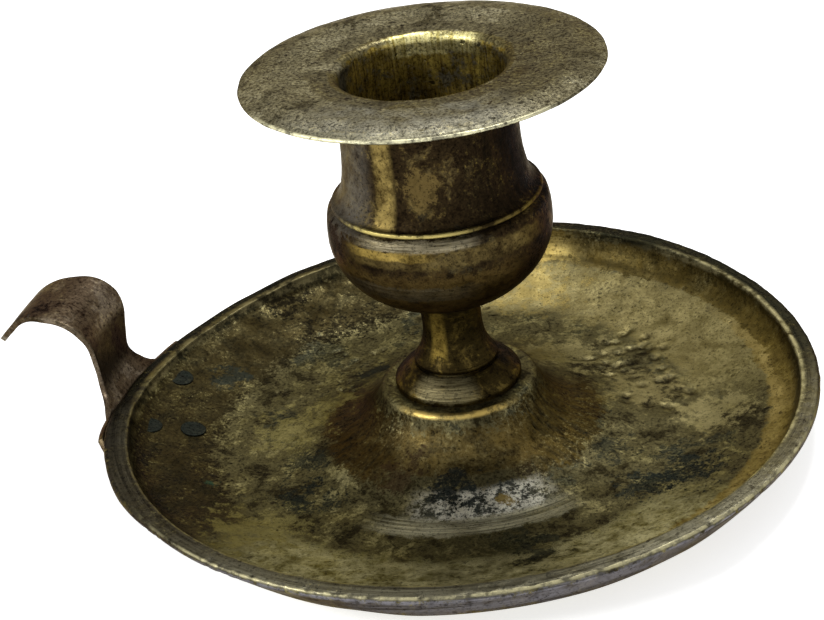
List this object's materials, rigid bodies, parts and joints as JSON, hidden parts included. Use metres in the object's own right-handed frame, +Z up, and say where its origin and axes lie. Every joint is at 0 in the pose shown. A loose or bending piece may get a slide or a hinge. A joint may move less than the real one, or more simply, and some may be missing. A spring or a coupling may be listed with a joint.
{
  "type": "chamberstick",
  "caption": "Brass chamberstick: saucer drip pan with an upright rim, turned stem, urn candle cup with a lift-out drip nozzle, and a curled sheet finger loop riveted at the rim.",
  "frame": {"origin": "centre of the flat face that the pan stands on, on the candle axis", "axes": "+Z up along the candle axis, -X towards the finger loop, +Y to the right as seen from the finger loop's tip looking at the candle"},
  "size_m": [0.1277, 0.108, 0.0617],
  "materials": {
    "pan_brass": "aged and mottled, olive with dark patches, worn bright at the rim",
    "stem_brass": "turned, dark tarnish with worn golden edges",
    "nut_brass": "dull, dark",
    "cup_brass": "turned, smooth brown tarnish with worn golden bead",
    "nozzle_brass": "pitted bronze-green tarnish, edge worn bright, bore golden",
    "loop_brass": "sheet, copper-brown tarnish",
    "rivet_iron": "flat, dark blue-grey"
  },
  "bodies": {
    "stick": {"drip_pan": "pan_brass", "stem": "stem_brass", "stem_nut": "nut_brass", "candle_cup": "cup_brass", "finger_loop": "loop_brass", "handle_rivet_front": "rivet_iron", "handle_rivet_back": "rivet_iron", "handle_rivet_inner": "rivet_iron"},
    "nozzle": {"drip_nozzle": "nozzle_brass"}
  },
  "joints": [
    {"name": "nozzle_lift", "type": "slide", "parent": "stick", "child": "nozzle", "axis": [0, 0, 1], "range_m": [0, 0.018]}
  ]
}
